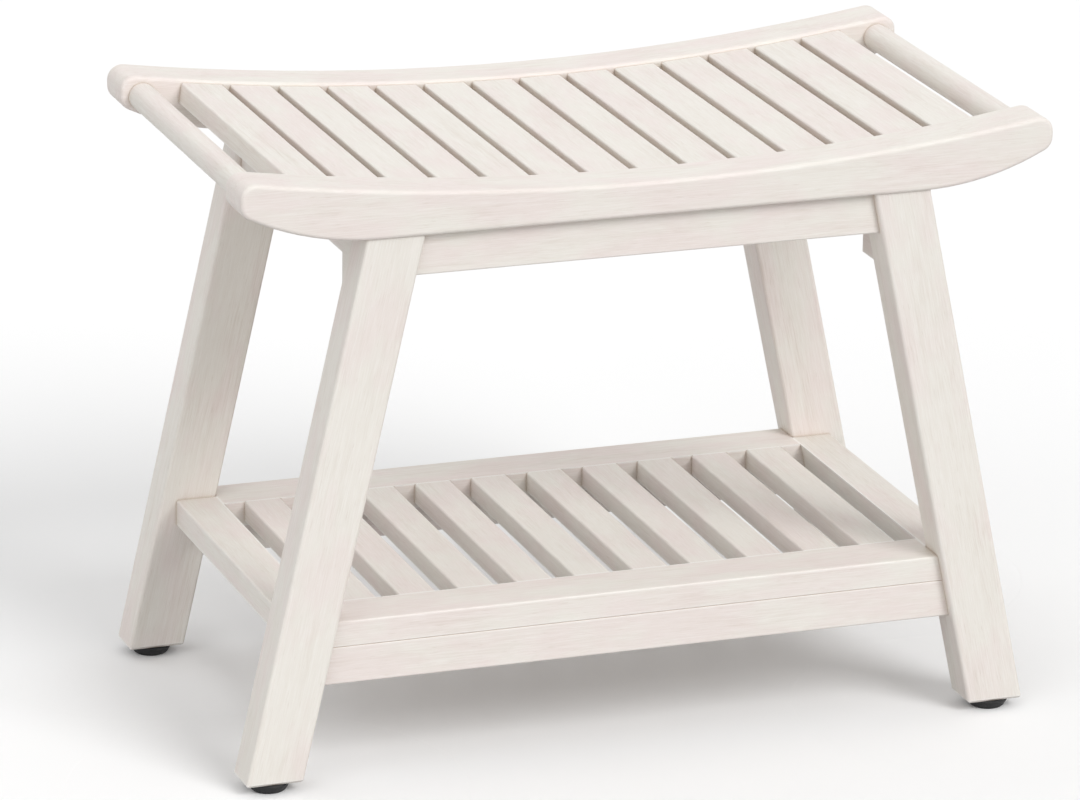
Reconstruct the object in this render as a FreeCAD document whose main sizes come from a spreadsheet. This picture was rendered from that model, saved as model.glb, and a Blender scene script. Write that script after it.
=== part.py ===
import FreeCAD, Part
import math
import os
import Sketcher
from FreeCAD import Placement, Rotation, Vector

# Slatted wooden shower bench: a dished seat on two curved rails, four splayed legs and a slatted shelf.
# X runs along the bench, Y from front to back, Z up. The origin is on the floor under the middle.

doc = FreeCAD.newDocument("shower_bench")
sheet = doc.addObject("Spreadsheet::Sheet", "sizes")

SIZES = {
    # Whole bench
    "seat_length": 610, "seat_depth": 330, "rail_underside": 406,
    # Seat rails
    "rail_thickness": 38, "rail_mid_height": 25, "seat_radius": 1950, "rail_sweep_length": 100,
    "rail_end_radius": 210, "rail_nose_radius": 11, "rail_end_flat": 1, "rail_edge_radius": 3,
    # Seat slats
    "slat_count": 14, "slat_width": 31.6, "slat_thickness": 15, "slat_drop": 2.5,
    "slat_edge_radius": 1.5, "slat_tenon_length": 14, "slat_tenon_thickness": 7, "slat_shoulder": 3,
    # Handles
    "handle_diameter": 20, "handle_inset": 16, "handle_gap": 19.6, "handle_seat": 20,
    # Legs
    "leg_overhang": 7.1, "leg_width": 43, "leg_thickness": 32, "leg_lean": 12.4, "leg_lift": 7.5,
    "leg_margin": 3, "leg_edge_radius": 2.5, "leg_foot_chamfer": 2,
    "leg_tenon_width": 24, "leg_tenon_thickness": 14, "leg_tenon_height": 15,
    # Aprons under the seat rails and stretchers under the shelf
    "apron_height": 31, "apron_thickness": 20, "apron_setback": 6,
    "stretcher_height": 28, "stretcher_thickness": 20, "stretcher_setback": 8,
    "bar_tenon_length": 15, "bar_tenon_thickness": 10, "bar_shoulder": 6, "board_edge_radius": 1.5,
    "seam_edge_radius": 0.8,
    # Cross rails between the front and back legs
    "cross_thickness": 28, "cross_height": 25, "cross_end_drop": 35, "cross_end_length": 24,
    "cross_tenon_length": 8, "cross_tenon_thickness": 12, "cross_shoulder": 6,
    # Shelf
    "shelf_top": 123, "shelf_thickness": 19, "shelf_end_width": 31.2, "shelf_rail_width": 41,
    "shelf_slat_count": 10, "shelf_slat_width": 28, "shelf_slat_thickness": 15, "shelf_end_gap": 16.6,
    "shelf_tenon_length": 12, "shelf_tenon_thickness": 7, "shelf_shoulder": 3,
    "shelf_pin_diameter": 8, "shelf_pin_length": 30,
    # Levelling feet
    "foot_diameter": 32, "foot_taper": 3.5, "foot_gap": 0.3, "foot_floor": 3,
    "stem_diameter": 6, "stem_length": 30, "stem_clearance": 0.05, "stem_room": 6, "stem_bore_room": 1,
    "insert_diameter": 10, "insert_length": 18,
    # Screws and the room left at the bottom of a mortise
    "screw_diameter": 4, "screw_head_diameter": 8, "screw_head_height": 3, "screw_grip": 12,
    "counterbore_diameter": 9, "counterbore_depth": 12, "screw_inset": 60, "mortise_room": 0.5,
}
for row, (alias, number) in enumerate(SIZES.items(), start=1):
    sheet.set(f"A{row}", alias)
    sheet.set(f"B{row}", str(number))
    sheet.setAlias(f"B{row}", alias)
doc.recompute()

# Places that several pieces share, as expressions of the sheet
HALF_LENGTH = "(sizes.seat_length / 2)"
FLAT_HALF = f"({HALF_LENGTH} - sizes.rail_sweep_length)"
RAIL_FACE = "(sizes.seat_depth / 2)"
RAIL_BACK = f"({RAIL_FACE} - sizes.rail_thickness)"
DISH_CENTRE = "(sizes.rail_underside + sizes.rail_mid_height + sizes.seat_radius)"
SWEEP_CENTRE = "(sizes.rail_underside + sizes.rail_end_radius)"


def rail_top(x):
    """Height of a seat rail's dished top at a distance from the middle."""
    return f"({DISH_CENTRE} - sqrt(sizes.seat_radius ^ 2 - {x} ^ 2))"


def rail_floor(x):
    """Height of a seat rail's underside at a distance beyond its flat stretch."""
    return f"({SWEEP_CENTRE} - sqrt(sizes.rail_end_radius ^ 2 - ({x} - {FLAT_HALF}) ^ 2))"


NOSE_ROOM = f"(({rail_top(HALF_LENGTH)} - {rail_floor(HALF_LENGTH)} - sizes.rail_end_flat) / 2)"
HANDLE_X = f"({HALF_LENGTH} - sizes.handle_inset)"
HANDLE_Z = f"(({rail_top(HANDLE_X)} + {rail_floor(HANDLE_X)}) / 2)"
HANDLE_REACH = f"({RAIL_BACK} + sizes.handle_seat)"
SLAT_RADIUS = "(sizes.seat_radius + sizes.slat_drop)"
SLAT_ROW = f"(2 * ({HANDLE_X} - sizes.handle_diameter / 2 - sizes.handle_gap) - sizes.slat_width)"
SLAT_STEP = f"({SLAT_ROW} / (sizes.slat_count - 1) / sizes.seat_radius * 180 / pi)"
LEG_TOP = f"({FLAT_HALF} + sizes.leg_overhang)"
LEG_FACE = f"({RAIL_FACE} - sizes.leg_margin)"
LEG_BACK = f"({LEG_FACE} - sizes.leg_thickness)"
LEG_MIDDLE = f"({LEG_FACE} - sizes.leg_thickness / 2)"


def leg_outer(height):
    """Distance of a leg's outer edge from the middle of the bench at a height."""
    return f"({LEG_TOP} + (sizes.rail_underside - {height}) * tan(sizes.leg_lean * 1 deg))"


def leg_inner(height):
    """Distance of a leg's inner edge from the middle of the bench at a height."""
    return f"({leg_outer(height)} - sizes.leg_width)"


LEG_TOP_X = f"({LEG_TOP} - sizes.leg_width / 2)"
FOOT_X = f"({leg_outer('sizes.leg_lift')} - sizes.leg_width / 2)"
FOOT_HEIGHT = "(sizes.leg_lift - sizes.foot_gap)"
CROSS_INNER = f"({LEG_TOP} - sizes.cross_thickness)"
CROSS_MIDDLE = f"({LEG_TOP} - sizes.cross_thickness / 2)"
APRON_FACE = f"({LEG_FACE} - sizes.apron_setback)"
APRON_MIDDLE = f"({APRON_FACE} - sizes.apron_thickness / 2)"
APRON_FLOOR = "(sizes.rail_underside - sizes.apron_height)"
APRON_SCREW_X = f"({leg_inner('sizes.rail_underside')} - sizes.screw_inset)"
SHELF_FACE = f"({LEG_FACE} - sizes.stretcher_setback)"
SHELF_INNER = f"({SHELF_FACE} - sizes.shelf_rail_width)"
SHELF_FLOOR = "(sizes.shelf_top - sizes.shelf_thickness)"
SHELF_SCREW_X = f"({leg_inner(SHELF_FLOOR)} - sizes.screw_inset)"
SHELF_HALF = leg_inner("sizes.shelf_top")
SHELF_END = f"({SHELF_HALF} + sizes.shelf_end_width)"
SHELF_ROW = f"(2 * ({SHELF_HALF} - sizes.shelf_end_gap) - sizes.shelf_slat_width)"
SHELF_STEP = f"({SHELF_ROW} / (sizes.shelf_slat_count - 1))"
STRETCHER_FLOOR = f"({SHELF_FLOOR} - sizes.stretcher_height)"
STRETCHER_MIDDLE = f"({SHELF_FACE} - sizes.stretcher_thickness / 2)"
PIN_Y = f"(({LEG_BACK} + {SHELF_INNER}) / 2)"
PIN_Z = "(sizes.shelf_top - sizes.shelf_thickness / 2)"
PIN_X = leg_inner(PIN_Z)

# Tolerance for picking edges, and an angle that holds a rotation's axis until its expression is set
NEAR = 0.01
ANY_ANGLE = 1

parts = []


def value(expression):
    result = sheet.evalExpression(str(expression))
    return float(getattr(result, "Value", result))


def bind(thing, bindings):
    for name, expression in bindings.items():
        thing.setExpression(name, expression)


def keep(thing, label):
    """Name a finished sub-part and put it on the list that is written out."""
    thing.Label = label
    parts.append(thing)
    return thing


def new_body(label):
    return keep(doc.addObject("PartDesign::Body", label), label)


def turn_to_back(body, back):
    """Pieces are drawn at the front. The back ones are turned half round the upright axis."""
    if back:
        body.Placement = Placement(Vector(0, 0, 0), Rotation(Vector(0, 0, 1), 180))


def new_sketch(body, name, plane, offset="0"):
    """Sketch on an origin plane. XZ sketches look along -Y, so their offset is a distance to the front."""
    sketch = body.newObject("Sketcher::SketchObject", name)
    support = next(item for item in body.Origin.OriginFeatures if item.Role == plane)
    sketch.AttachmentSupport = [(support, "")]
    sketch.MapMode = "FlatFace"
    sketch.setExpression("AttachmentOffset.Base.z", offset)
    doc.recompute()
    return sketch


def pin_point(sketch, geometry, position, x, y):
    """Hold one point of a sketch at two expressions."""
    for kind, expression in (("DistanceX", x), ("DistanceY", y)):
        number = sketch.addConstraint(Sketcher.Constraint(kind, geometry, position, value(expression)))
        sketch.setExpression(f"Constraints[{number}]", expression)


def draw_polygon(sketch, corners):
    """Closed outline through corners that are pairs of expressions."""
    points = [Vector(value(x), value(y), 0) for x, y in corners]
    first = sketch.GeometryCount
    count = len(points)
    for index in range(count):
        sketch.addGeometry(Part.LineSegment(points[index], points[(index + 1) % count]))
    for index in range(count):
        following = first + (index + 1) % count
        sketch.addConstraint(Sketcher.Constraint("Coincident", first + index, 2, following, 1))
        pin_point(sketch, first + index, 1, *corners[index])


def draw_rectangle(sketch, x, y, width, height):
    """Rectangle round a middle point."""
    left, right = f"{x} - {width} / 2", f"{x} + {width} / 2"
    low, high = f"{y} - {height} / 2", f"{y} + {height} / 2"
    draw_polygon(sketch, [(left, low), (right, low), (right, high), (left, high)])


def draw_circle(sketch, x, y, diameter):
    circle = Part.Circle(Vector(value(x), value(y), 0), Vector(0, 0, 1), value(diameter) / 2)
    number = sketch.addGeometry(circle)
    pin_point(sketch, number, 3, x, y)
    size = sketch.addConstraint(Sketcher.Constraint("Diameter", number, value(diameter)))
    sketch.setExpression(f"Constraints[{size}]", diameter)


def pad(body, sketch, length):
    """Solid grown from a sketch along its normal."""
    feature = body.newObject("PartDesign::Pad", sketch.Name + "_pad")
    feature.Profile = sketch
    feature.setExpression("Length", length)
    return finish_feature(body, feature)


def pocket(body, sketch, depth):
    """Cut along the sketch's normal, which is away from the bench's middle or up."""
    feature = body.newObject("PartDesign::Pocket", sketch.Name + "_pocket")
    feature.Profile = sketch
    feature.Reversed = True
    before = body.Shape.Volume
    feature.setExpression("Length", depth)
    finish_feature(body, feature)
    if body.Shape.Volume >= before:
        raise ValueError(f"{feature.Name} cuts nothing")
    return feature


def finish_feature(body, feature):
    body.Tip = feature
    doc.recompute()
    return feature


def dress_edges(body, kind, size_name, size, wanted):
    """Fillet or chamfer on the edges that the test picks, with a size that follows the sheet."""
    base = body.Tip
    names = [f"Edge{number}" for number, edge in enumerate(base.Shape.Edges, start=1) if wanted(edge)]
    feature = body.newObject(f"PartDesign::{kind}", f"{body.Name}_{kind}")
    feature.Base = (base, names)
    feature.setExpression(size_name, size)
    return finish_feature(body, feature)


def round_edges(body, radius, wanted):
    return dress_edges(body, "Fillet", "Radius", radius, wanted)


def chamfer_edges(body, size, wanted):
    return dress_edges(body, "Chamfer", "Size", size, wanted)


def runs_along(axis):
    """Test for straight edges that run along a direction."""
    direction = Vector(axis).normalize()

    def test(edge):
        if edge.Curve.TypeId != "Part::GeomLine":
            return False
        return edge.tangentAt(edge.FirstParameter).cross(direction).Length < NEAR
    return test


def draw_rail_outline(sketch):
    """Dished top, flat underside, and an underside that sweeps up to each end."""
    flat, end = value(FLAT_HALF), value(HALF_LENGTH)
    floor = value("sizes.rail_underside")
    sweep, dish = value("sizes.rail_end_radius"), value("sizes.seat_radius")
    dish_z = value(DISH_CENTRE)
    sweep_angle = math.asin((end - flat) / sweep)
    dish_angle = math.asin(end / dish)
    down = 1.5 * math.pi
    up = Vector(0, 0, 1)
    sweep_end, dish_end = value(rail_floor(HALF_LENGTH)), value(rail_top(HALF_LENGTH))
    underside = sketch.addGeometry(Part.LineSegment(Vector(-flat, floor, 0), Vector(flat, floor, 0)))
    right_circle = Part.Circle(Vector(flat, floor + sweep, 0), up, sweep)
    right_sweep = sketch.addGeometry(Part.ArcOfCircle(right_circle, down, down + sweep_angle))
    right_end = sketch.addGeometry(Part.LineSegment(Vector(end, sweep_end, 0), Vector(end, dish_end, 0)))
    dish_circle = Part.Circle(Vector(0, dish_z, 0), up, dish)
    top = sketch.addGeometry(Part.ArcOfCircle(dish_circle, down - dish_angle, down + dish_angle))
    left_end = sketch.addGeometry(Part.LineSegment(Vector(-end, dish_end, 0), Vector(-end, sweep_end, 0)))
    left_circle = Part.Circle(Vector(-flat, floor + sweep, 0), up, sweep)
    left_sweep = sketch.addGeometry(Part.ArcOfCircle(left_circle, down - sweep_angle, down))
    joints = [(underside, 2, right_sweep, 1), (right_sweep, 2, right_end, 1), (right_end, 2, top, 2),
              (top, 1, left_end, 1), (left_end, 2, left_sweep, 1), (left_sweep, 2, underside, 1)]
    for joint in joints:
        sketch.addConstraint(Sketcher.Constraint("Coincident", *joint))
    pin_point(sketch, underside, 1, f"-{FLAT_HALF}", "sizes.rail_underside")
    pin_point(sketch, underside, 2, FLAT_HALF, "sizes.rail_underside")
    pin_point(sketch, right_sweep, 3, FLAT_HALF, SWEEP_CENTRE)
    pin_point(sketch, left_sweep, 3, f"-{FLAT_HALF}", SWEEP_CENTRE)
    pin_point(sketch, top, 3, "0", DISH_CENTRE)
    radius = sketch.addConstraint(Sketcher.Constraint("Radius", top, dish))
    sketch.setExpression(f"Constraints[{radius}]", "sizes.seat_radius")
    for line, sign in ((right_end, ""), (left_end, "-")):
        for position in (1, 2):
            x = f"{sign}{HALF_LENGTH}"
            number = sketch.addConstraint(Sketcher.Constraint("DistanceX", line, position, value(x)))
            sketch.setExpression(f"Constraints[{number}]", x)


def make_seat_rail(label, back):
    """Curved board with a mortise for every slat, leg sockets, handle sockets and screw pilots."""
    body = new_body(label)
    outline = new_sketch(body, label + "_outline", "XZ_Plane", RAIL_BACK)
    draw_rail_outline(outline)
    pad(body, outline, "sizes.rail_thickness")
    end = value(HALF_LENGTH)
    across = runs_along((0, 1, 0))
    round_edges(body, f"min(sizes.rail_nose_radius; {NOSE_ROOM})",
                lambda edge: across(edge) and abs(abs(edge.CenterOfMass.x) - end) < NEAR)
    faces_y = (-value(RAIL_FACE), -value(RAIL_BACK))
    round_edges(body, "sizes.rail_edge_radius",
                lambda edge: edge.BoundBox.YLength < NEAR
                and min(abs(edge.CenterOfMass.y - y) for y in faces_y) < NEAR)

    mortise = new_sketch(body, label + "_mortise", "XZ_Plane", RAIL_BACK)
    mortise.setExpression("AttachmentOffset.Base.y", DISH_CENTRE)
    first_angle = f"-{SLAT_STEP} * (sizes.slat_count - 1) / 2"
    mortise.AttachmentOffset = Placement(mortise.AttachmentOffset.Base, Rotation(Vector(0, 0, 1), ANY_ANGLE))
    mortise.setExpression("AttachmentOffset.Rotation.Angle", first_angle)
    draw_rectangle(mortise, "0", f"-({SLAT_RADIUS} + sizes.slat_thickness / 2)",
                   "(sizes.slat_width - 2 * sizes.slat_shoulder)", "sizes.slat_tenon_thickness")
    doc.recompute()
    cut = pocket(body, mortise, "sizes.slat_tenon_length + sizes.mortise_room")
    row = body.newObject("PartDesign::PolarPattern", label + "_mortises")
    row.Originals = [cut]
    row.Axis = (mortise, ["N_Axis"])
    bind(row, {"Angle": f"{SLAT_STEP} * (sizes.slat_count - 1)", "Occurrences": "sizes.slat_count"})
    finish_feature(body, row)

    sockets = new_sketch(body, label + "_handle_sockets", "XZ_Plane", RAIL_BACK)
    for sign in ("-", ""):
        draw_circle(sockets, f"{sign}{HANDLE_X}", HANDLE_Z, "sizes.handle_diameter")
    pocket(body, sockets, "sizes.handle_seat")

    leg_sockets = new_sketch(body, label + "_leg_sockets", "XY_Plane", "sizes.rail_underside")
    for sign in ("-", ""):
        draw_rectangle(leg_sockets, f"{sign}{LEG_TOP_X}", f"-{LEG_MIDDLE}",
                       "sizes.leg_tenon_width", "sizes.leg_tenon_thickness")
    pocket(body, leg_sockets, "sizes.leg_tenon_height + sizes.mortise_room")

    pilots = new_sketch(body, label + "_pilots", "XY_Plane", "sizes.rail_underside")
    for place in (f"-{APRON_SCREW_X}", APRON_SCREW_X):
        draw_circle(pilots, place, f"-{APRON_MIDDLE}", "sizes.screw_diameter")
    pocket(body, pilots, "sizes.screw_grip")
    turn_to_back(body, back)


def make_slat(label, length, width, thickness, tenon, edge_radius):
    """Flat board with a stub tenon at each end, drawn with the middle of its top at the origin."""
    tenon_length, tenon_thickness, shoulder = tenon
    body = new_body(label)
    board = new_sketch(body, label + "_board", "XZ_Plane", f"-{length} / 2")
    draw_rectangle(board, "0", f"-{thickness} / 2", width, thickness)
    pad(body, board, length)
    along = runs_along((0, 1, 0))
    round_edges(body, edge_radius, lambda edge: along(edge) and edge.CenterOfMass.z > -NEAR)
    tongue = new_sketch(body, label + "_tenons", "XZ_Plane", f"-({length} / 2 + {tenon_length})")
    draw_rectangle(tongue, "0", f"-{thickness} / 2", f"({width} - 2 * {shoulder})", tenon_thickness)
    pad(body, tongue, f"{length} + 2 * {tenon_length}")
    return body


def make_seat_slat(index):
    """Each slat lies square to the dish, in its own mortises."""
    tenon = ("sizes.slat_tenon_length", "sizes.slat_tenon_thickness", "sizes.slat_shoulder")
    body = make_slat(f"seat_slat_{index + 1:02d}", f"(2 * {RAIL_BACK})", "sizes.slat_width",
                     "sizes.slat_thickness", tenon, "sizes.slat_edge_radius")
    turn = f"{SLAT_STEP} * ({index} - (sizes.slat_count - 1) / 2)"
    body.Placement = Placement(Vector(0, 0, 0), Rotation(Vector(0, -1, 0), ANY_ANGLE))
    bind(body, {"Placement.Base.x": f"{SLAT_RADIUS} * sin({turn} * 1 deg)",
                "Placement.Base.z": f"{DISH_CENTRE} - {SLAT_RADIUS} * cos({turn} * 1 deg)",
                "Placement.Rotation.Angle": turn})


def make_handle(label, sign):
    """Round bar whose ends sit in blind sockets of the two seat rails."""
    bar = keep(doc.addObject("Part::Cylinder", label), label)
    bar.Placement = Placement(Vector(0, 0, 0), Rotation(Vector(1, 0, 0), -90))
    bind(bar, {"Radius": "sizes.handle_diameter / 2", "Height": f"2 * {HANDLE_REACH}",
               "Placement.Base.x": f"{sign}{HANDLE_X}", "Placement.Base.y": f"-{HANDLE_REACH}",
               "Placement.Base.z": HANDLE_Z})


def bar_corners(floor, top, reach):
    """Outline of a bar between two leaning legs, reaching past their inner faces."""
    low, high = f"({leg_inner(floor)} + {reach})", f"({leg_inner(top)} + {reach})"
    return [(f"-{low}", floor), (low, floor), (high, top), (f"-{high}", top)]


def make_leg(label, sign, back):
    """Leaning post: tenon on top, mortises for three bars, and a bore for its levelling foot."""
    body = new_body(label)
    floor, top = "sizes.leg_lift", "sizes.rail_underside"
    post = new_sketch(body, label + "_post", "XZ_Plane", LEG_BACK)
    draw_polygon(post, [(f"{sign}{leg_outer(floor)}", floor), (f"{sign}{leg_inner(floor)}", floor),
                        (f"{sign}{leg_inner(top)}", top), (f"{sign}{leg_outer(top)}", top)])
    pad(body, post, "sizes.leg_thickness")
    short, lower = value("sizes.leg_width"), value(floor) + NEAR
    chamfer_edges(body, "sizes.leg_foot_chamfer", lambda edge: edge.BoundBox.ZMax < lower)
    round_edges(body, "sizes.leg_edge_radius", lambda edge: edge.BoundBox.ZLength > short)

    tenon = new_sketch(body, label + "_tenon", "XY_Plane", top)
    draw_rectangle(tenon, f"{sign}{LEG_TOP_X}", f"-{LEG_MIDDLE}",
                   "sizes.leg_tenon_width", "sizes.leg_tenon_thickness")
    pad(body, tenon, "sizes.leg_tenon_height")

    depth = "(sizes.bar_tenon_length + sizes.mortise_room)"
    bars = (("apron", APRON_FLOOR, top, APRON_FACE, "sizes.apron_thickness"),
            ("stretcher", STRETCHER_FLOOR, SHELF_FLOOR, SHELF_FACE, "sizes.stretcher_thickness"))
    for name, bar_floor, bar_top, face, thickness in bars:
        low, high = f"({bar_floor} + sizes.bar_shoulder)", f"({bar_top} - sizes.bar_shoulder)"
        near = f"({face} - {thickness} / 2 - sizes.bar_tenon_thickness / 2)"
        mortise = new_sketch(body, f"{label}_{name}_mortise", "XZ_Plane", near)
        draw_polygon(mortise, [(f"{sign}({leg_inner(low)} - {depth})", low),
                               (f"{sign}({leg_inner(low)} + {depth})", low),
                               (f"{sign}({leg_inner(high)} + {depth})", high),
                               (f"{sign}({leg_inner(high)} - {depth})", high)])
        pocket(body, mortise, "sizes.bar_tenon_thickness")

    cross = new_sketch(body, label + "_cross_mortise", "XZ_Plane", LEG_BACK)
    cross_middle, cross_tall = cross_tenon()
    draw_rectangle(cross, f"{sign}{CROSS_MIDDLE}", cross_middle, "sizes.cross_tenon_thickness", cross_tall)
    pocket(body, cross, "sizes.cross_tenon_length + sizes.mortise_room")

    bores = (("insert", "sizes.insert_diameter", "sizes.insert_length"),
             ("stem", "(sizes.stem_diameter + sizes.stem_bore_room)", "sizes.stem_length + sizes.stem_room"))
    for name, diameter, deep in bores:
        bore = new_sketch(body, f"{label}_{name}_bore", "XY_Plane", floor)
        draw_circle(bore, f"{sign}{FOOT_X}", f"-{LEG_MIDDLE}", diameter)
        pocket(body, bore, deep)
    turn_to_back(body, back)


def make_bar(label, floor, top, face, thickness, screw_x, back):
    """Bar between two legs on one side, with slanted ends, tenons and screw holes from below."""
    body = new_body(label)
    board = new_sketch(body, label + "_board", "XZ_Plane", f"({face} - {thickness})")
    draw_polygon(board, bar_corners(floor, top, "0"))
    pad(body, board, thickness)
    along = runs_along((1, 0, 0))
    lower, upper = value(floor) + NEAR, value(top) - NEAR
    round_edges(body, "sizes.board_edge_radius", lambda edge: along(edge) and edge.CenterOfMass.z < lower)
    round_edges(body, "sizes.seam_edge_radius", lambda edge: along(edge) and edge.CenterOfMass.z > upper)
    near = f"({face} - {thickness} / 2 - sizes.bar_tenon_thickness / 2)"
    tenons = new_sketch(body, label + "_tenons", "XZ_Plane", near)
    draw_polygon(tenons, bar_corners(f"({floor} + sizes.bar_shoulder)", f"({top} - sizes.bar_shoulder)",
                                     "sizes.bar_tenon_length"))
    pad(body, tenons, "sizes.bar_tenon_thickness")
    holes = (("clearance", "sizes.screw_diameter", f"({top} - {floor})"),
             ("counterbore", "sizes.counterbore_diameter", "sizes.counterbore_depth"))
    for name, diameter, depth in holes:
        sketch = new_sketch(body, f"{label}_{name}", "XY_Plane", floor)
        for place in (f"-{screw_x}", screw_x):
            draw_circle(sketch, place, f"-({face} - {thickness} / 2)", diameter)
        pocket(body, sketch, depth)
    turn_to_back(body, back)


def cross_tenon():
    """Middle height and height of the tenon on a cross rail's deep end."""
    top = "sizes.rail_underside"
    floor = f"({top} - sizes.cross_height - sizes.cross_end_drop)"
    return f"(({top} + {floor}) / 2)", f"({top} - {floor} - 2 * sizes.cross_shoulder)"


def make_cross_rail(label, near):
    """Bridge between a front and a back leg: shallow in the middle, deep where it meets the legs."""
    body = new_body(label)
    bridge = new_sketch(body, label + "_bridge", "YZ_Plane", near)
    top = "sizes.rail_underside"
    shallow = f"({top} - sizes.cross_height)"
    deep = f"({shallow} - sizes.cross_end_drop)"
    step = f"({LEG_BACK} - sizes.cross_end_length)"
    draw_polygon(bridge, [(f"-{LEG_BACK}", deep), (f"-{step}", deep), (f"-{step}", shallow),
                          (step, shallow), (step, deep), (LEG_BACK, deep), (LEG_BACK, top),
                          (f"-{LEG_BACK}", top)])
    pad(body, bridge, "sizes.cross_thickness")
    inset = f"{near} + (sizes.cross_thickness - sizes.cross_tenon_thickness) / 2"
    tenons = new_sketch(body, label + "_tenons", "YZ_Plane", inset)
    middle, tall = cross_tenon()
    for sign in ("-", ""):
        draw_rectangle(tenons, f"{sign}{LEG_BACK}", middle, "(2 * sizes.cross_tenon_length)", tall)
    pad(body, tenons, "sizes.cross_tenon_thickness")


def pin_start(sign):
    """Left end of a pin that lies half in a shelf rail and half in a shelf end."""
    return f"({sign}{PIN_X} - sizes.shelf_pin_length / 2)"


def make_shelf_rail(label, back):
    """Front or back board of the shelf, with slat mortises, pin bores and screw pilots."""
    body = new_body(label)
    board = new_sketch(body, label + "_board", "XZ_Plane", SHELF_INNER)
    draw_polygon(board, bar_corners(SHELF_FLOOR, "sizes.shelf_top", "0"))
    pad(body, board, "sizes.shelf_rail_width")
    along = runs_along((1, 0, 0))
    front = -value(SHELF_FACE) + NEAR
    lower, upper = value(SHELF_FLOOR) + NEAR, value("sizes.shelf_top") - NEAR
    round_edges(body, "sizes.board_edge_radius", lambda edge: along(edge)
                and edge.CenterOfMass.y < front and edge.CenterOfMass.z > upper)
    round_edges(body, "sizes.seam_edge_radius", lambda edge: along(edge)
                and edge.CenterOfMass.y < front and edge.CenterOfMass.z < lower)

    mortise = new_sketch(body, label + "_mortise", "XZ_Plane", SHELF_INNER)
    draw_rectangle(mortise, f"-{SHELF_ROW} / 2",
                   "(sizes.shelf_top - sizes.shelf_slat_thickness / 2)",
                   "(sizes.shelf_slat_width - 2 * sizes.shelf_shoulder)", "sizes.shelf_tenon_thickness")
    cut = pocket(body, mortise, "sizes.shelf_tenon_length + sizes.mortise_room")
    row = body.newObject("PartDesign::LinearPattern", label + "_mortises")
    row.Originals = [cut]
    row.Direction = (mortise, ["H_Axis"])
    bind(row, {"Length": SHELF_ROW, "Occurrences": "sizes.shelf_slat_count"})
    finish_feature(body, row)

    for name, sign in (("left", "-"), ("right", "")):
        bore = new_sketch(body, f"{label}_{name}_pin", "YZ_Plane", pin_start(sign))
        draw_circle(bore, f"-{PIN_Y}", PIN_Z, "sizes.shelf_pin_diameter")
        pocket(body, bore, "sizes.shelf_pin_length")

    pilots = new_sketch(body, label + "_pilots", "XY_Plane", SHELF_FLOOR)
    for place in (f"-{SHELF_SCREW_X}", SHELF_SCREW_X):
        draw_circle(pilots, place, f"-{STRETCHER_MIDDLE}", "sizes.screw_diameter")
    pocket(body, pilots, "sizes.screw_grip")
    turn_to_back(body, back)


def make_shelf_end(label, sign):
    """End board of the shelf between a front and a back leg, bevelled where it meets the shelf rails."""
    body = new_body(label)
    board = new_sketch(body, label + "_board", "XZ_Plane", f"-{LEG_BACK}")
    outer = f"{sign}{SHELF_END}"
    draw_polygon(board, [(f"{sign}{leg_inner(SHELF_FLOOR)}", SHELF_FLOOR), (outer, SHELF_FLOOR),
                         (outer, "sizes.shelf_top"), (f"{sign}{SHELF_HALF}", "sizes.shelf_top")])
    pad(body, board, f"2 * {LEG_BACK}")
    along = runs_along((0, 1, 0))
    outside, upper = value(SHELF_END) - NEAR, value("sizes.shelf_top") - NEAR
    round_edges(body, "sizes.board_edge_radius", lambda edge: along(edge)
                and abs(edge.CenterOfMass.x) > outside and edge.CenterOfMass.z > upper)
    bores = new_sketch(body, label + "_pins", "YZ_Plane", pin_start(sign))
    for side in ("-", ""):
        draw_circle(bores, f"{side}{PIN_Y}", PIN_Z, "sizes.shelf_pin_diameter")
    pocket(body, bores, "sizes.shelf_pin_length")


def make_shelf_slat(index):
    tenon = ("sizes.shelf_tenon_length", "sizes.shelf_tenon_thickness", "sizes.shelf_shoulder")
    body = make_slat(f"shelf_slat_{index + 1:02d}", f"(2 * {SHELF_INNER})", "sizes.shelf_slat_width",
                     "sizes.shelf_slat_thickness", tenon, "sizes.board_edge_radius")
    bind(body, {"Placement.Base.x": f"{SHELF_STEP} * ({index} - (sizes.shelf_slat_count - 1) / 2)",
                "Placement.Base.z": "sizes.shelf_top"})


def revolve(body, name, corners):
    """Solid of revolution about the upright axis from a radius and height outline."""
    sketch = new_sketch(body, name, "XZ_Plane")
    draw_polygon(sketch, corners)
    feature = body.newObject("PartDesign::Revolution", name + "_turn")
    feature.Profile = sketch
    feature.ReferenceAxis = (sketch, ["V_Axis"])
    feature.Angle = 360
    finish_feature(body, feature)


def make_foot(corner, x, y):
    """Moulded pad on a plain stem that stands for the threaded stud."""
    pad_body = new_body(f"{corner}_foot_pad")
    rim, bore = "sizes.foot_diameter / 2", "sizes.stem_diameter / 2"
    revolve(pad_body, f"{corner}_foot_outline",
            [("0", "0"), (f"{rim} - sizes.foot_taper", "0"), (rim, FOOT_HEIGHT), (bore, FOOT_HEIGHT),
             (bore, "sizes.foot_floor"), ("0", "sizes.foot_floor")])
    bind(pad_body, {"Placement.Base.x": x, "Placement.Base.y": y})
    label = f"{corner}_foot_stem"
    stem = keep(doc.addObject("Part::Cylinder", label), label)
    bind(stem, {"Radius": bore, "Height": f"{FOOT_HEIGHT} - sizes.foot_floor + sizes.stem_length",
                "Placement.Base.x": x, "Placement.Base.y": y, "Placement.Base.z": "sizes.foot_floor"})


def make_group(label, makers):
    """Identical fasteners as separate solids in one sub-part."""
    group = keep(doc.addObject("Part::Compound", label), label)
    group.Links = makers
    doc.recompute()


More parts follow.
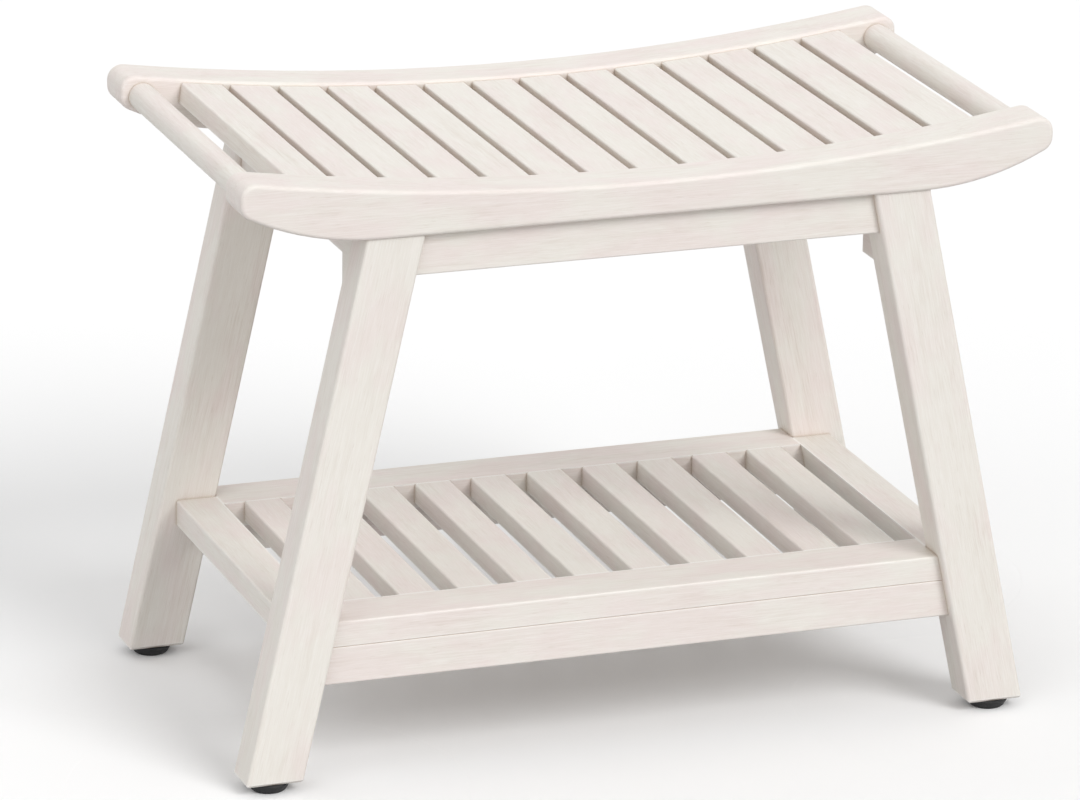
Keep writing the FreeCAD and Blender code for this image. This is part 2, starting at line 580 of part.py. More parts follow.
def make_cylinder(name, diameter, height, place):
    cylinder = doc.addObject("Part::Cylinder", name)
    bind(cylinder, {"Radius": f"{diameter} / 2", "Height": height})
    bind(cylinder, {f"Placement.Base.{axis}": expression for axis, expression in zip("xyz", place)})
    return cylinder


def make_screw(name, place, length):
    """Pan head and shank, driven upwards from a counterbore."""
    x, y, z = place
    head_floor = f"{z} - sizes.screw_head_height"
    head = make_cylinder(name + "_head", "sizes.screw_head_diameter", "sizes.screw_head_height",
                         (x, y, head_floor))
    shank = make_cylinder(name + "_shank", "sizes.screw_diameter", length, place)
    screw = doc.addObject("Part::Fuse", name)
    screw.Base, screw.Tool = head, shank
    return screw


def make_screws(label, x, y, floor, top):
    """Two screws in each of the two bars on one level."""
    shoulder = f"({floor} + sizes.counterbore_depth)"
    length = f"({top} - {shoulder} + sizes.screw_grip)"
    screws = []
    for side in ("-", ""):
        for place in (f"-{x}", x):
            name = f"{label}_{len(screws) + 1}"
            screws.append(make_screw(name, (place, f"{side}{y}", shoulder), length))
    make_group(label, screws)


def make_insert(name, x, y):
    """Threaded bush pressed into a leg, with a plain bore for the stem."""
    shell = make_cylinder(name + "_shell", "sizes.insert_diameter", "sizes.insert_length",
                          (x, y, "sizes.leg_lift"))
    bore = make_cylinder(name + "_bore", "(sizes.stem_diameter + 2 * sizes.stem_clearance)",
                         "sizes.insert_length", (x, y, "sizes.leg_lift"))
    bush = doc.addObject("Part::Cut", name)
    bush.Base, bush.Tool = shell, bore
    return bush


def make_shelf_pin(name, sign, y):
    """Wooden pin that joins a shelf rail to a shelf end."""
    pin = doc.addObject("Part::Cylinder", name)
    pin.Placement = Placement(Vector(0, 0, 0), Rotation(Vector(0, 1, 0), 90))
    bind(pin, {"Radius": "sizes.shelf_pin_diameter / 2", "Height": "sizes.shelf_pin_length",
               "Placement.Base.x": pin_start(sign), "Placement.Base.y": y, "Placement.Base.z": PIN_Z})
    return pin


# Seat: two rails, the slats between them and a handle at each end
make_seat_rail("front_seat_rail", False)
make_seat_rail("back_seat_rail", True)
for slat_index in range(int(value("sizes.slat_count"))):
    make_seat_slat(slat_index)
make_handle("left_handle", "-")
make_handle("right_handle", "")

# End frames: a back leg is a front leg of the other side, turned half round
make_leg("front_left_leg", "-", False)
make_leg("front_right_leg", "", False)
make_leg("back_left_leg", "", True)
make_leg("back_right_leg", "-", True)
make_cross_rail("left_cross_rail", f"-{LEG_TOP}")
make_cross_rail("right_cross_rail", CROSS_INNER)

# Long bars on the front and back
for bar_side, bar_back in (("front", False), ("back", True)):
    make_bar(f"{bar_side}_apron", APRON_FLOOR, "sizes.rail_underside", APRON_FACE,
             "sizes.apron_thickness", APRON_SCREW_X, bar_back)
    make_bar(f"{bar_side}_stretcher", STRETCHER_FLOOR, SHELF_FLOOR, SHELF_FACE,
             "sizes.stretcher_thickness", SHELF_SCREW_X, bar_back)
    make_shelf_rail(f"{bar_side}_shelf_rail", bar_back)

# Shelf ends and slats
make_shelf_end("left_shelf_end", "-")
make_shelf_end("right_shelf_end", "")
for slat_index in range(int(value("sizes.shelf_slat_count"))):
    make_shelf_slat(slat_index)

# Levelling feet and the fasteners inside
CORNERS = {"front_left": ("-", "-"), "front_right": ("", "-"), "back_left": ("-", ""), "back_right": ("", "")}
inserts, pins = [], []
for corner_name, (sign_x, sign_y) in CORNERS.items():
    corner_x, corner_y = f"{sign_x}{FOOT_X}", f"{sign_y}{LEG_MIDDLE}"
    make_foot(corner_name, corner_x, corner_y)
    inserts.append(make_insert(f"{corner_name}_insert", corner_x, corner_y))
    pins.append(make_shelf_pin(f"{corner_name}_pin", sign_x, f"{sign_y}{PIN_Y}"))
make_group("foot_inserts", inserts)
make_group("shelf_pins", pins)
make_screws("seat_screws", APRON_SCREW_X, APRON_MIDDLE, APRON_FLOOR, "sizes.rail_underside")
make_screws("shelf_screws", SHELF_SCREW_X, STRETCHER_MIDDLE, STRETCHER_FLOOR, SHELF_FLOOR)
doc.recompute()

for item in doc.Objects:
    if "Invalid" in item.State or "Error" in item.State:
        raise ValueError(f"{item.Label} did not build")

os.makedirs("parts", exist_ok=True)
for item in parts:
    if item.Shape.isNull() or not item.Shape.isValid():
        raise ValueError(f"{item.Label} has no valid shape")
    item.Shape.exportStep(f"parts/{item.Label}.step")
print(len(parts), "sub-parts written")
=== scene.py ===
import math

import bmesh
import bpy
from mathutils import Matrix, Vector


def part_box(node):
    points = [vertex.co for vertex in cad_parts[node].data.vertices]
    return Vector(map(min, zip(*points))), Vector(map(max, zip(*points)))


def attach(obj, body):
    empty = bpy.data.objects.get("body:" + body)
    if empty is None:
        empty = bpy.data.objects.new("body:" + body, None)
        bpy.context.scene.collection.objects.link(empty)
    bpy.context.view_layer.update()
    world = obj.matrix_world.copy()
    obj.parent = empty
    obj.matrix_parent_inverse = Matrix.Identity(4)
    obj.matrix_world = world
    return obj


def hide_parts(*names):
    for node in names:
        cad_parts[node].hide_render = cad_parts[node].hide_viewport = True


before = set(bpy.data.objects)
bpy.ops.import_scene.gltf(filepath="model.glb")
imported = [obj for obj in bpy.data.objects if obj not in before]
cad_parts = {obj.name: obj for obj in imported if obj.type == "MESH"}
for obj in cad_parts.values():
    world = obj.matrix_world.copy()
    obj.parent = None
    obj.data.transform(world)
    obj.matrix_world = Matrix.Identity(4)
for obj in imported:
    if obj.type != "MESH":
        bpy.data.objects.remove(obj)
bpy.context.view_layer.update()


# Legs: four posts of a pale straight-grained hardwood, planed square, eased along their edges and
# wiped with a thin white stain. They lean outwards along the bench, so the grain leans with them.
# Each goes up into its seat rail with a tenon.
CORNERS = ("front_left", "front_right", "back_left", "back_right")
LEG_LEAN = math.radians(12.4)
CREAM = (0.815, 0.782, 0.728, 1)
ROSE = (0.81, 0.735, 0.70, 1)
# The pale below whitens the fibres and the rubbed edges; on the edges it is also a painted highlight.
SANDED_AND_HIGHLIGHT = (0.94, 0.925, 0.90, 1)
# The brown below is the open grain's colour, and in joints and gaps it is painted shade.
BARE_WOOD_AND_SHADE = (0.50, 0.40, 0.31, 1)
TONE_SCALE = 34
BLOTCH_SCALE = 55
STREAK_SCALE = 260
FIBRE_SCALE = 1300
PORE_SCALE = 1700
RING_SCALE = 62
TONE_SWING = 0.6
RING_MARK = 0.04
STREAK_MARK = 0.11
FIBRE_MARK = 0.14
PORE_MARK = 0.22
CHALK_MARK = 0.28
RING_RISE = 0.2
# How far and how strongly the edges are painted lighter, partly as rubbed stain and partly as a
# painted highlight.
EDGE_REACH = 0.003
EDGE_RUB_AND_HIGHLIGHT = 0.85
# How far and how strongly joints and gaps are painted darker by how close other surfaces are: painted
# shade.
GAP_REACH = 0.012
GAP_PAINTED_SHADE = 0.75
SEAM_REACH = 0.002
SEAM_PAINTED_SHADE = 0.75
GRAIN_RELIEF = 0.0002
RAY_SAMPLES = 6


def shader_node(tree, kind, inputs, **settings):
    """A new shader node, its inputs set to values or linked to other nodes' outputs."""
    made = tree.nodes.new("ShaderNode" + kind)
    for name, value in settings.items():
        setattr(made, name, value)
    for name, value in inputs.items():
        if isinstance(value, bpy.types.NodeSocket):
            tree.links.new(value, made.inputs[name])
        else:
            made.inputs[name].default_value = value
    return made


def blend(tree, share, under, over):
    """The colour over laid on the colour under, by its share."""
    return shader_node(tree, "Mix", {0: share, 6: under, 7: over}, data_type="RGBA").outputs[2]


def figure_out(tree, operation, first, second):
    """The sum, product or other figure of two values."""
    return shader_node(tree, "Math", {0: first, 1: second}, operation=operation).outputs[0]


def spread(tree, value, low, high, at_low=0.0, at_high=1.0):
    """A value from low to high, drawn out to run from at_low to at_high."""
    return shader_node(tree, "MapRange", {"Value": value, "From Min": low, "From Max": high,
                                          "To Min": at_low, "To Max": at_high}).outputs[0]


def draw_out(tree, place, shortening):
    """The place on a piece, shortened along X so that a pattern runs long with the fibres."""
    return shader_node(tree, "VectorMath", {0: place, 1: (shortening, 1, 1)},
                       operation="MULTIPLY").outputs[0]


def fibre_noise(tree, place, shortening, scale, detail):
    """Noise drawn out along X, the way the fibres run."""
    return shader_node(tree, "TexNoise", {"Vector": draw_out(tree, place, shortening), "Scale": scale,
                                          "Detail": detail, "Roughness": 0.6}).outputs[0]


def make_group(name, inputs, outputs):
    """An empty node group, with the ends of its sockets inside it."""
    group = bpy.data.node_groups.new(name, "ShaderNodeTree")
    for socket, kind in inputs:
        group.interface.new_socket(socket, in_out="INPUT", socket_type="NodeSocket" + kind)
    for socket, kind in outputs:
        group.interface.new_socket(socket, in_out="OUTPUT", socket_type="NodeSocket" + kind)
    return (group, group.nodes.new("NodeGroupInput").outputs,
            group.nodes.new("NodeGroupOutput").inputs)


def make_whitewash():
    """Stained wood with its grain along X: fibres, growth rings, pores and slow changes of tone."""
    group, given, out = make_group(
        "whitewashed_wood",
        (("Place", "Vector"), ("Warmth", "Float"), ("Figure", "Float")),
        (("Colour", "Color"), ("Roughness", "Float"), ("Height", "Float")))
    place = given["Place"]
    tone = fibre_noise(group, place, 0.45, TONE_SCALE, 2)
    blotches = spread(group, fibre_noise(group, place, 0.3, BLOTCH_SCALE, 3), 0.4, 0.68, 0.45, 1.5)
    streaks = fibre_noise(group, place, 0.03, STREAK_SCALE, 3)
    fibres = fibre_noise(group, place, 0.045, FIBRE_SCALE, 5)
    pores = spread(group, fibre_noise(group, place, 0.05, PORE_SCALE, 1), 0.66, 0.78)
    rings = shader_node(group, "TexWave", {"Vector": draw_out(group, place, 0.06), "Scale": RING_SCALE,
                                           "Distortion": 5, "Detail": 2, "Detail Scale": 0.5},
                        wave_type="RINGS", rings_direction="X", wave_profile="SAW").outputs[1]
    warm = figure_out(group, "ADD", spread(group, tone, 0.35, 0.65, -TONE_SWING, TONE_SWING),
                      given["Warmth"])
    stain = blend(group, shader_node(group, "Clamp", {0: warm}).outputs[0], CREAM, ROSE)
    late_wood = figure_out(group, "ADD", spread(group, rings, 0.45, 1.0, 0, RING_MARK),
                           spread(group, streaks, 0.45, 0.75, 0, STREAK_MARK))
    dark_fibres = spread(group, fibres, 0.52, 0.25, 0, FIBRE_MARK)
    uneven = figure_out(group, "MULTIPLY", figure_out(group, "ADD", late_wood, dark_fibres), blotches)
    lines = figure_out(group, "MULTIPLY", uneven, given["Figure"])
    bare = figure_out(group, "ADD", lines, figure_out(group, "MULTIPLY", pores, PORE_MARK))
    chalk = spread(group, fibres, 0.52, 0.74, 0, CHALK_MARK)
    stained = blend(group, bare, stain, BARE_WOOD_AND_SHADE)
    group.links.new(blend(group, chalk, stained, SANDED_AND_HIGHLIGHT), out["Colour"])
    group.links.new(spread(group, fibres, 0.3, 0.7, 0.60, 0.46), out["Roughness"])
    raised = figure_out(group, "ADD", fibres, figure_out(group, "MULTIPLY", rings, RING_RISE))
    group.links.new(figure_out(group, "SUBTRACT", raised, pores), out["Height"])
    return group


def make_edge_wear_and_highlight():
    """A mask that is 1 on the eased edges and 0 on the flats, where the edges are painted lighter:
    partly rubbed stain, partly a painted highlight.
    """
    group, given, out = make_group("edge_wear_and_highlight", (("Reach", "Float"),), (("Edge", "Float"),))
    softened = shader_node(group, "Bevel", {"Radius": given["Reach"]}, samples=RAY_SAMPLES).outputs[0]
    flat = shader_node(group, "NewGeometry", {}).outputs["Normal"]
    apart = shader_node(group, "VectorMath", {0: softened, 1: flat}, operation="DOT_PRODUCT")
    group.links.new(spread(group, apart.outputs["Value"], 0.985, 0.86), out["Edge"])
    return group


def make_joint_shade():
    """A mask that is 1 deep in joints and gaps and 0 in the open, for the painted shade there."""
    group, given, out = make_group("painted_joint_shade",
                                   (("Reach", "Float"), ("Open", "Float"), ("Shut", "Float")),
                                   (("Joint", "Float"),))
    nearby = shader_node(group, "AmbientOcclusion", {"Distance": given["Reach"]}, samples=RAY_SAMPLES)
    group.links.new(spread(group, nearby.outputs["AO"], given["Open"], given["Shut"]), out["Joint"])
    return group


whitewashed_wood = make_whitewash()
edge_wear_and_highlight = make_edge_wear_and_highlight()
painted_joint_shade = make_joint_shade()


def dress(node, finish):
    """The finish, on a CAD node as it is."""
    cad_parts[node].material_slots[0].material = finish


def new_finish(name):
    """A new material, with its nodes and its shader."""
    finish = bpy.data.materials.new(name)
    finish.use_nodes = True
    return finish, finish.node_tree, finish.node_tree.nodes["Principled BSDF"]


def dress_in_wood(node, turn, seed, warmth):
    """Whitewashed wood for one piece, turned so that its grain runs along the piece."""
    finish, tree, board = new_finish(node + "_wood")
    spot = shader_node(tree, "TexCoord", {}).outputs["Object"]
    cut = (0.37 * seed, 0.053 * (seed % 5) + 0.04, 0.11 * seed)
    turned = shader_node(tree, "Mapping", {"Vector": spot, "Rotation": turn, "Location": cut})
    wood = shader_node(tree, "Group", {}, node_tree=whitewashed_wood)
    tree.links.new(turned.outputs[0], wood.inputs["Place"])
    wood.inputs["Warmth"].default_value = warmth
    wood.inputs["Figure"].default_value = 0.9 + 0.1 * (seed % 4)
    # The eased edges are painted lighter: partly rubbed stain, partly a painted highlight.
    edges = shader_node(tree, "Group", {}, node_tree=edge_wear_and_highlight)
    edges.inputs["Reach"].default_value = EDGE_REACH
    rubbed_and_highlit = figure_out(tree, "MULTIPLY", edges.outputs["Edge"], EDGE_RUB_AND_HIGHLIGHT)
    # Joints and gaps are painted darker where the pieces shade each other: painted shade.
    gaps = shader_node(tree, "Group", {}, node_tree=painted_joint_shade)
    seams = shader_node(tree, "Group", {}, node_tree=painted_joint_shade)
    for joint, reach, opened, shut in ((gaps, GAP_REACH, 0.6, 0.18), (seams, SEAM_REACH, 0.94, 0.45)):
        joint.inputs["Reach"].default_value = reach
        joint.inputs["Open"].default_value = opened
        joint.inputs["Shut"].default_value = shut
    painted_shade = figure_out(tree, "MAXIMUM",
                          figure_out(tree, "MULTIPLY", gaps.outputs["Joint"], GAP_PAINTED_SHADE),
                          figure_out(tree, "MULTIPLY", seams.outputs["Joint"], SEAM_PAINTED_SHADE))
    worn_and_highlit = blend(tree, rubbed_and_highlit, wood.outputs["Colour"], SANDED_AND_HIGHLIGHT)
    tree.links.new(blend(tree, painted_shade, worn_and_highlit, BARE_WOOD_AND_SHADE), board.inputs["Base Color"])
    tree.links.new(wood.outputs["Roughness"], board.inputs["Roughness"])
    relief = shader_node(tree, "Bump", {"Height": wood.outputs["Height"], "Strength": 0.35,
                                        "Distance": GRAIN_RELIEF})
    tree.links.new(relief.outputs[0], board.inputs["Normal"])
    board.inputs["Specular IOR Level"].default_value = 0.35
    dress(node, finish)


for seed, corner in enumerate(CORNERS):
    lean = LEG_LEAN if "left" in corner else -LEG_LEAN
    dress_in_wood(corner + "_leg", (0, math.pi / 2 - lean, 0), seed, 0.15 + 0.1 * seed)


# Cross rails, aprons and stretchers: the boards between the legs, of the same wood. Each is tenoned
# into a leg at both ends; the cross rails run front to back, the others along the bench.
ALONG_BENCH = (0, 0, 0)
FRONT_TO_BACK = (0, 0, -math.pi / 2)

for seed, board in enumerate(("left_cross_rail", "right_cross_rail"), 4):
    dress_in_wood(board, FRONT_TO_BACK, seed, 0.4)
for seed, board in enumerate(("front_apron", "back_apron", "front_stretcher", "back_stretcher"), 6):
    dress_in_wood(board, ALONG_BENCH, seed, 0.55 + 0.1 * (seed % 3))


# Shelf: a front and a back rail, two end boards and ten slats between the rails. The slats sit in
# mortises in the rails, and dowel pins hold the end boards to the rails.
for seed, board in enumerate(("front_shelf_rail", "back_shelf_rail"), 10):
    dress_in_wood(board, ALONG_BENCH, seed, 0.6)
for seed, board in enumerate(("left_shelf_end", "right_shelf_end"), 12):
    dress_in_wood(board, FRONT_TO_BACK, seed, 0.35)
for number in range(1, 11):
    warmth = 0.15 + 0.13 * (number * 7 % 5)
    dress_in_wood(f"shelf_slat_{number:02d}", FRONT_TO_BACK, 13 + number, warmth)
dress_in_wood("shelf_pins", ALONG_BENCH, 24, 0.5)


# Seat: two dished rails sawn to a curve from one plank each, and fourteen slats let into them. Round
# bars between the ends of the rails are the handles.
for seed, rail in enumerate(("front_seat_rail", "back_seat_rail"), 25):
    dress_in_wood(rail, ALONG_BENCH, seed, 0.6)
for number in range(1, 15):
    warmth = 0.1 + 0.13 * (number * 7 % 5)
    dress_in_wood(f"seat_slat_{number:02d}", FRONT_TO_BACK, 26 + number, warmth)
for seed, bar in enumerate(("left_handle", "right_handle"), 42):
    dress_in_wood(bar, FRONT_TO_BACK, seed, 0.3)


# Screws: zinc-plated wood screws with a domed head and a cross recess. They go up through the aprons
# and stretchers, with their heads in counterbores, into the rails above.
HEAD_RADIUS = 0.004
HEAD_HEIGHT = 0.003
HEAD_STEPS = 24
RECESS_DEPTH = 0.0016
RECESS_MIDDLE = 0.3
SCREW_ROOT = 0.0014
SCREW_CREST = 0.002
SCREW_PITCH = 0.0018
SCREW_POINT = 0.005
HEAD_PROFILE = ((0.93, 0.25), (1, 0.55), (1, 1), (SCREW_ROOT / HEAD_RADIUS, 1))
THREAD_STEPS = 18
SHARP_EDGE = math.radians(32)
ZINC = (0.60, 0.60, 0.61, 1)
DULL_ZINC = (0.45, 0.45, 0.47, 1)


def metal_finish(name, colour, dulled, roughness):
    """Plated metal, clouded where the plating has dulled."""
    finish, tree, plate = new_finish(name)
    spot = shader_node(tree, "TexCoord", {}).outputs["Object"]
    clouds = shader_node(tree, "TexNoise", {"Vector": spot, "Scale": 420, "Detail": 4}).outputs[0]
    clouded = blend(tree, spread(tree, clouds, 0.35, 0.7), colour, dulled)
    tree.links.new(clouded, plate.inputs["Base Color"])
    tree.links.new(spread(tree, clouds, 0.3, 0.7, roughness - 0.08, roughness + 0.1),
                   plate.inputs["Roughness"])
    plate.inputs["Metallic"].default_value = 1.0
    return finish


def corners_of(items):
    """The vertices among the parts of a bmesh."""
    return [item for item in items if isinstance(item, bmesh.types.BMVert)]


def wind_thread(shape, low, high, root, crest, pitch):
    """A threaded length of rod on the upright axis: one ridge wound up it, closed at both ends."""
    turns = int((high - low) / pitch) - 1
    ridge = [shape.verts.new((radius, 0, low + rise))
             for radius, rise in ((root, 0), (crest, pitch / 2), (root, pitch))]
    flanks = [shape.edges.new(ends) for ends in zip(ridge, ridge[1:])]
    bmesh.ops.spin(shape, geom=ridge + flanks, axis=(0, 0, 1), angle=2 * math.pi * turns,
                   dvec=(0, 0, pitch / THREAD_STEPS), steps=THREAD_STEPS * turns)
    bmesh.ops.remove_doubles(shape, verts=shape.verts, dist=pitch / 40)
    bmesh.ops.holes_fill(shape, edges=[edge for edge in shape.edges if edge.is_boundary])


def shape_screw(length):
    """One screw, its head's face on the origin and its point up."""
    screw = bmesh.new()
    bmesh.ops.create_circle(screw, cap_ends=True, radius=0.7 * HEAD_RADIUS, segments=HEAD_STEPS)
    middle = next(iter(screw.faces))
    rim = list(middle.edges)
    bmesh.ops.inset_region(screw, faces=[middle], thickness=0.15 * HEAD_RADIUS)
    for corner in middle.verts:
        cross = abs(math.cos(2 * math.atan2(corner.co.y, corner.co.x))) ** 3
        corner.co *= max(RECESS_MIDDLE, cross)
    bmesh.ops.inset_region(screw, faces=[middle], thickness=0.02 * HEAD_RADIUS)
    bmesh.ops.translate(screw, verts=middle.verts, vec=(0, 0, RECESS_DEPTH))
    for radius, height in HEAD_PROFILE:
        ring = set(corners_of(bmesh.ops.extrude_edge_only(screw, edges=rim)["geom"]))
        rim = [edge for edge in screw.edges if ring.issuperset(edge.verts)]
        for corner in ring:
            out = corner.co.to_2d().normalized() * radius * HEAD_RADIUS
            corner.co = (out.x, out.y, height * HEAD_HEIGHT)
    bmesh.ops.holes_fill(screw, edges=rim)
    wind_thread(screw, HEAD_HEIGHT, length - SCREW_POINT, SCREW_ROOT, SCREW_CREST, SCREW_PITCH)
    middle_of_point = Matrix.Translation((0, 0, length - SCREW_POINT / 2 - SCREW_PITCH))
    bmesh.ops.create_cone(screw, cap_ends=True, segments=THREAD_STEPS, radius1=SCREW_ROOT, radius2=0,
                          depth=SCREW_POINT + 2 * SCREW_PITCH, matrix=middle_of_point)
    return screw


def finished_piece(name, shape, finish, body, node):
    """The piece made from a bmesh, in its finish, riding on a body in place of a CAD node."""
    bmesh.ops.recalc_face_normals(shape, faces=shape.faces)
    mesh = bpy.data.meshes.new(name)
    shape.to_mesh(mesh)
    shape.free()
    mesh.shade_smooth()
    mesh.set_sharp_from_angle(angle=SHARP_EDGE)
    mesh.materials.append(finish)
    piece = bpy.data.objects.new(name, mesh)
    bpy.context.scene.collection.objects.link(piece)
    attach(piece, body)
    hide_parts(node)


zinc_steel = metal_finish("zinc_steel", ZINC, DULL_ZINC, 0.34)
for node in ("seat_screws", "shelf_screws"):
    low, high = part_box(node)
    four = shape_screw(high.z - low.z)
    first = list(four.verts) + list(four.edges) + list(four.faces)
    places = [Vector((x, y, low.z)) for x in (low.x + HEAD_RADIUS, high.x - HEAD_RADIUS)
              for y in (low.y + HEAD_RADIUS, high.y - HEAD_RADIUS)]
    for place in places[1:]:
        copied = bmesh.ops.duplicate(four, geom=first)["geom"]
        bmesh.ops.translate(four, verts=corners_of(copied), vec=place)
    bmesh.ops.translate(four, verts=corners_of(first), vec=places[0])
    finished_piece("wood_screws_" + node, four, zinc_steel, "frame", node)


# Bushes: turned brass inserts, one in the foot of each leg. They are pressed up into the end grain,
# flush with it, and the stems of the levelling feet screw into them.
BRASS = (0.72, 0.53, 0.25, 1)
DULL_BRASS = (0.50, 0.36, 0.18, 1)

dress("foot_inserts", metal_finish("brass_bush", BRASS, DULL_BRASS, 0.36))


# Levelling feet: a tapered pad of moulded black rubber with grip rings underneath, on a threaded
# steel stem that is moulded into it and screws up into the leg.
STEM_ROOT = 0.00245
STEM_PITCH = 0.001
PAD_TAPER = 0.0035
PAD_ROUND = 0.0008
PAD_STEPS = 48
RING_PLACES = (0.76, 0.5, 0.24)
RING_DEPTH = 0.0005
RING_MOUTH = 0.0010
RING_FLOOR = 0.0006
RUBBER = (0.010, 0.010, 0.011, 1)
DUSTY_RUBBER = (0.032, 0.031, 0.030, 1)
PEBBLE_RELIEF = 0.0002


def rubber_finish():
    """Matte black rubber with a fine pebble and a little dust."""
    finish, tree, pad = new_finish("black_pad")
    spot = shader_node(tree, "TexCoord", {}).outputs["Object"]
    pebble = shader_node(tree, "TexNoise", {"Vector": spot, "Scale": 1600, "Detail": 3}).outputs[0]
    dust = shader_node(tree, "TexNoise", {"Vector": spot, "Scale": 130, "Detail": 3}).outputs[0]
    dusted = blend(tree, spread(tree, dust, 0.45, 0.75, 0, 0.6), RUBBER, DUSTY_RUBBER)
    tree.links.new(dusted, pad.inputs["Base Color"])
    tree.links.new(spread(tree, pebble, 0.3, 0.7, 0.55, 0.8), pad.inputs["Roughness"])
    relief = shader_node(tree, "Bump", {"Height": pebble, "Strength": 0.3, "Distance": PEBBLE_RELIEF})
    tree.links.new(relief.outputs[0], pad.inputs["Normal"])
    return finish


def turn_pad(rim, height, bore, bore_floor):
    """The pad turned on the upright axis from half of its section, grip rings included."""
    foot = rim - PAD_TAPER
    section = [(0, bore_floor), (bore, bore_floor), (bore, height), (rim - PAD_ROUND, height),
               (rim, height - PAD_ROUND), (foot + 0.3 * PAD_ROUND, PAD_ROUND), (foot - PAD_ROUND, 0)]
    for ring in RING_PLACES:
        section += [(ring * foot + RING_MOUTH, 0), (ring * foot + RING_FLOOR, RING_DEPTH),
                    (ring * foot - RING_FLOOR, RING_DEPTH), (ring * foot - RING_MOUTH, 0)]
    section.append((0, 0))
    pad = bmesh.new()
    line = [pad.verts.new((radius, 0, level)) for radius, level in section]
    sides = [pad.edges.new(ends) for ends in zip(line, line[1:])]
    bmesh.ops.spin(pad, geom=line + sides, axis=(0, 0, 1), angle=2 * math.pi, steps=PAD_STEPS,
                   use_merge=True)
    bmesh.ops.remove_doubles(pad, verts=pad.verts, dist=1e-6)
    return pad


black_pad = rubber_finish()
for corner in CORNERS:
    foot, pad_node, stem_node = (corner + end for end in ("_foot", "_foot_pad", "_foot_stem"))
    pad_low, pad_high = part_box(pad_node)
    stem_low, stem_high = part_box(stem_node)
    axis = (pad_low + pad_high) / 2
    pad_radius = (pad_high.x - pad_low.x) / 2
    stem_radius = (stem_high.x - stem_low.x) / 2
    pad = turn_pad(pad_radius, pad_high.z - pad_low.z, stem_radius, stem_low.z - pad_low.z)
    bmesh.ops.translate(pad, verts=pad.verts, vec=(axis.x, axis.y, pad_low.z))
    finished_piece(corner + "_rubber_pad", pad, black_pad, foot, pad_node)
    stem = bmesh.new()
    wind_thread(stem, 0, stem_high.z - stem_low.z, STEM_ROOT, stem_radius, STEM_PITCH)
    bmesh.ops.translate(stem, verts=stem.verts, vec=(axis.x, axis.y, stem_low.z))
    finished_piece(corner + "_threaded_stem", stem, zinc_steel, foot, stem_node)


# Studio: a sheet of white paper for a floor, soft lamps on three sides and the photograph's camera.
# Under each foot the paper has a shallow dish, filled level by a round patch that goes down with the
# foot, so that it always stands on something. From below, the camera sees through the paper.
FLOOR_REACH = 12.0
FLOOR_LIFT = 0.02
WHITE = (1, 1, 1, 1)
WHITE_PAPER = (0.93, 0.93, 0.93, 1)
DULL_PAPER = (0.56, 0.56, 0.56, 1)
DISH_RADIUS = 0.145
DISH_FLAT = 0.05
DISH_DEPTH = 0.0085
DISH_STEPS = 96
PATCH_DROP = 0.0001
LOW_SKY = 0.36
HIGH_SKY = 0.75
PHOTO_PLACE = Vector((-1.5816, -4.2393, 1.71537))
PHOTO_YAW = math.radians(20.18)
PHOTO_PITCH = math.radians(-18.325)
PHOTO_ROLL = math.radians(0.94)
PHOTO_LENS = 216.2
SENSOR_WIDTH = 36.0


def seen_straight(tree):
    """1 for rays that reach the camera directly, by a mirror or through glass."""
    path = shader_node(tree, "LightPath", {}).outputs
    through = figure_out(tree, "MAXIMUM", path["Is Glossy Ray"], path["Is Transmission Ray"])
    return figure_out(tree, "MAXIMUM", path["Is Camera Ray"], through)


paper, tree, plain = new_finish("white_paper")
tree.nodes.remove(plain)
shade = blend(tree, seen_straight(tree), DULL_PAPER, WHITE_PAPER)
matte = shader_node(tree, "BsdfDiffuse", {"Color": shade}).outputs[0]
lift = figure_out(tree, "MULTIPLY", seen_straight(tree), FLOOR_LIFT)
glow = shader_node(tree, "Emission", {"Color": WHITE, "Strength": lift}).outputs[0]
lit = shader_node(tree, "AddShader", {0: matte, 1: glow}).outputs[0]
below = shader_node(tree, "NewGeometry", {}).outputs["Backfacing"]
clear = shader_node(tree, "BsdfTransparent", {}).outputs[0]
cleared = figure_out(tree, "MULTIPLY", below, seen_straight(tree))
one_sided = shader_node(tree, "MixShader", {0: cleared, 1: lit, 2: clear}).outputs[0]
tree.links.new(one_sided, tree.nodes["Material Output"].inputs["Surface"])


def lay_paper(name, shape):
    """A part of the floor, made from a bmesh."""
    mesh = bpy.data.meshes.new(name)
    shape.to_mesh(mesh)
    shape.free()
    mesh.materials.append(paper)
    laid = bpy.data.objects.new(name, mesh)
    laid.visible_shadow = False
    bpy.context.scene.collection.objects.link(laid)
    return laid


sheet = bmesh.new()
for corner in CORNERS:
    low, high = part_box(corner + "_foot_pad")
    under_foot = Matrix.Translation(((low.x + high.x) / 2, (low.y + high.y) / 2, low.z))
    half_way_down = Matrix.Translation((0, 0, -DISH_DEPTH / 2))
    bmesh.ops.create_cone(sheet, cap_ends=False, segments=DISH_STEPS, radius1=DISH_FLAT,
                          radius2=DISH_RADIUS, depth=DISH_DEPTH, matrix=under_foot @ half_way_down)
    patch = bmesh.new()
    bmesh.ops.create_circle(patch, cap_ends=True, radius=DISH_RADIUS, segments=DISH_STEPS,
                            matrix=under_foot @ Matrix.Translation((0, 0, -PATCH_DROP)))
    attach(lay_paper(corner + "_floor_patch", patch), corner + "_foot")
bmesh.ops.reverse_faces(sheet, faces=sheet.faces)
bmesh.ops.create_circle(sheet, cap_ends=False, radius=FLOOR_REACH, segments=4)
level = [edge for edge in sheet.edges if min(end.co.z for end in edge.verts) > -PATCH_DROP]
bmesh.ops.triangle_fill(sheet, edges=level, use_beauty=True, normal=(0, 0, 1))
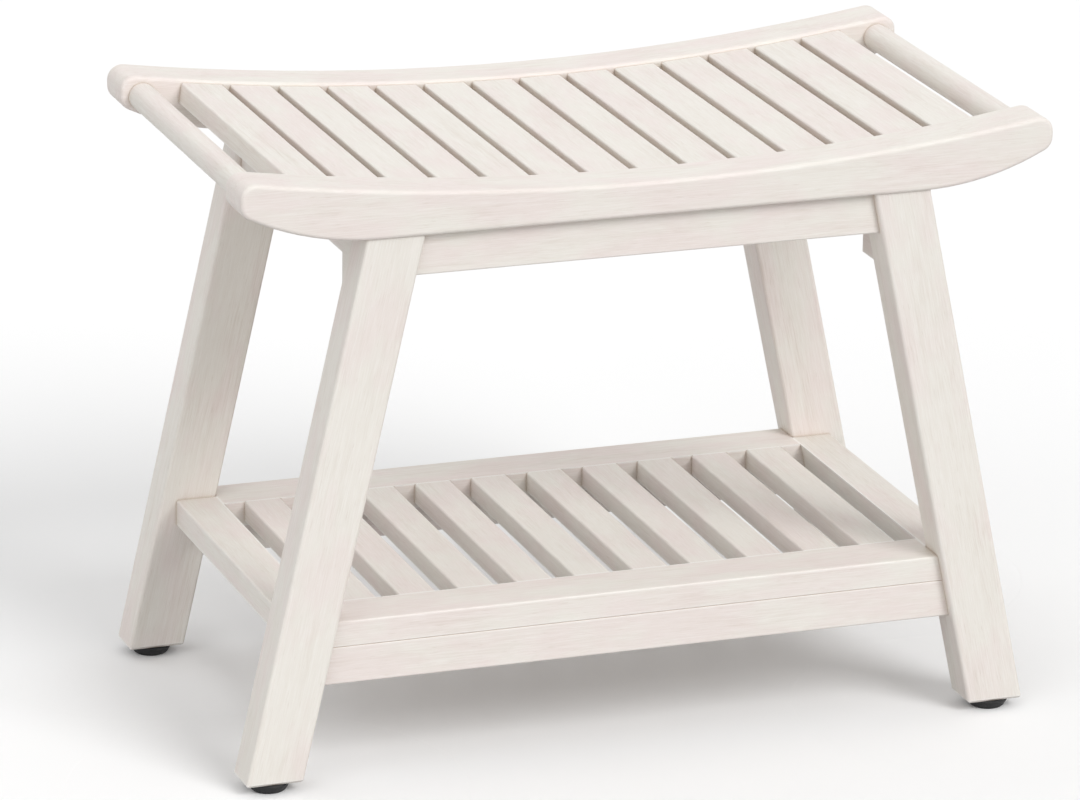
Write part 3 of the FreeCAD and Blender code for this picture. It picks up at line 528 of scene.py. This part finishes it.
lay_paper("floor", sheet)

studio = bpy.data.worlds.new("studio")
bpy.context.scene.world = studio
studio.use_nodes = True
tree = studio.node_tree
background = tree.nodes["Background"]
background.inputs["Color"].default_value = WHITE
direction = shader_node(tree, "TexCoord", {}).outputs["Generated"]
above = shader_node(tree, "SeparateXYZ", {0: direction}).outputs["Z"]
sky = figure_out(tree, "MULTIPLY", spread(tree, above, 0, 1, LOW_SKY, HIGH_SKY),
                 figure_out(tree, "GREATER_THAN", above, 0))
shown = figure_out(tree, "MAXIMUM", seen_straight(tree), sky)
tree.links.new(shown, background.inputs["Strength"])


def soft_sun(name, turned_right, height, strength, breadth):
    """A broad far lamp, turned to the right of the bench's front and raised by angles in degrees."""
    lamp = bpy.data.lights.new(name, "SUN")
    lamp.energy = strength
    lamp.angle = math.radians(breadth)
    stand = bpy.data.objects.new(name, lamp)
    stand.rotation_euler = (math.radians(90 - height), 0, math.radians(turned_right))
    bpy.context.scene.collection.objects.link(stand)


soft_sun("key_lamp", turned_right=25, height=37, strength=1.56, breadth=28)
soft_sun("fill_lamp", turned_right=-50, height=26, strength=0.66, breadth=55)
soft_sun("back_lamp", turned_right=-140, height=35, strength=0.35, breadth=50)

ahead = Vector((math.sin(PHOTO_YAW) * math.cos(PHOTO_PITCH),
                math.cos(PHOTO_YAW) * math.cos(PHOTO_PITCH), math.sin(PHOTO_PITCH)))
across = Vector((math.cos(PHOTO_YAW), -math.sin(PHOTO_YAW), 0))
upright = Matrix((across, across.cross(ahead), -ahead)).transposed().to_4x4()
lens = bpy.data.cameras.new("camera")
lens.sensor_fit = "HORIZONTAL"
lens.sensor_width = SENSOR_WIDTH
lens.lens = PHOTO_LENS
camera = bpy.data.objects.new("camera", lens)
rolled = Matrix.Rotation(PHOTO_ROLL, 4, "Z")
camera.matrix_world = Matrix.Translation(PHOTO_PLACE) @ upright @ rolled
bpy.context.scene.collection.objects.link(camera)
bpy.context.scene.camera = camera
bpy.context.scene.view_settings.view_transform = "Standard"
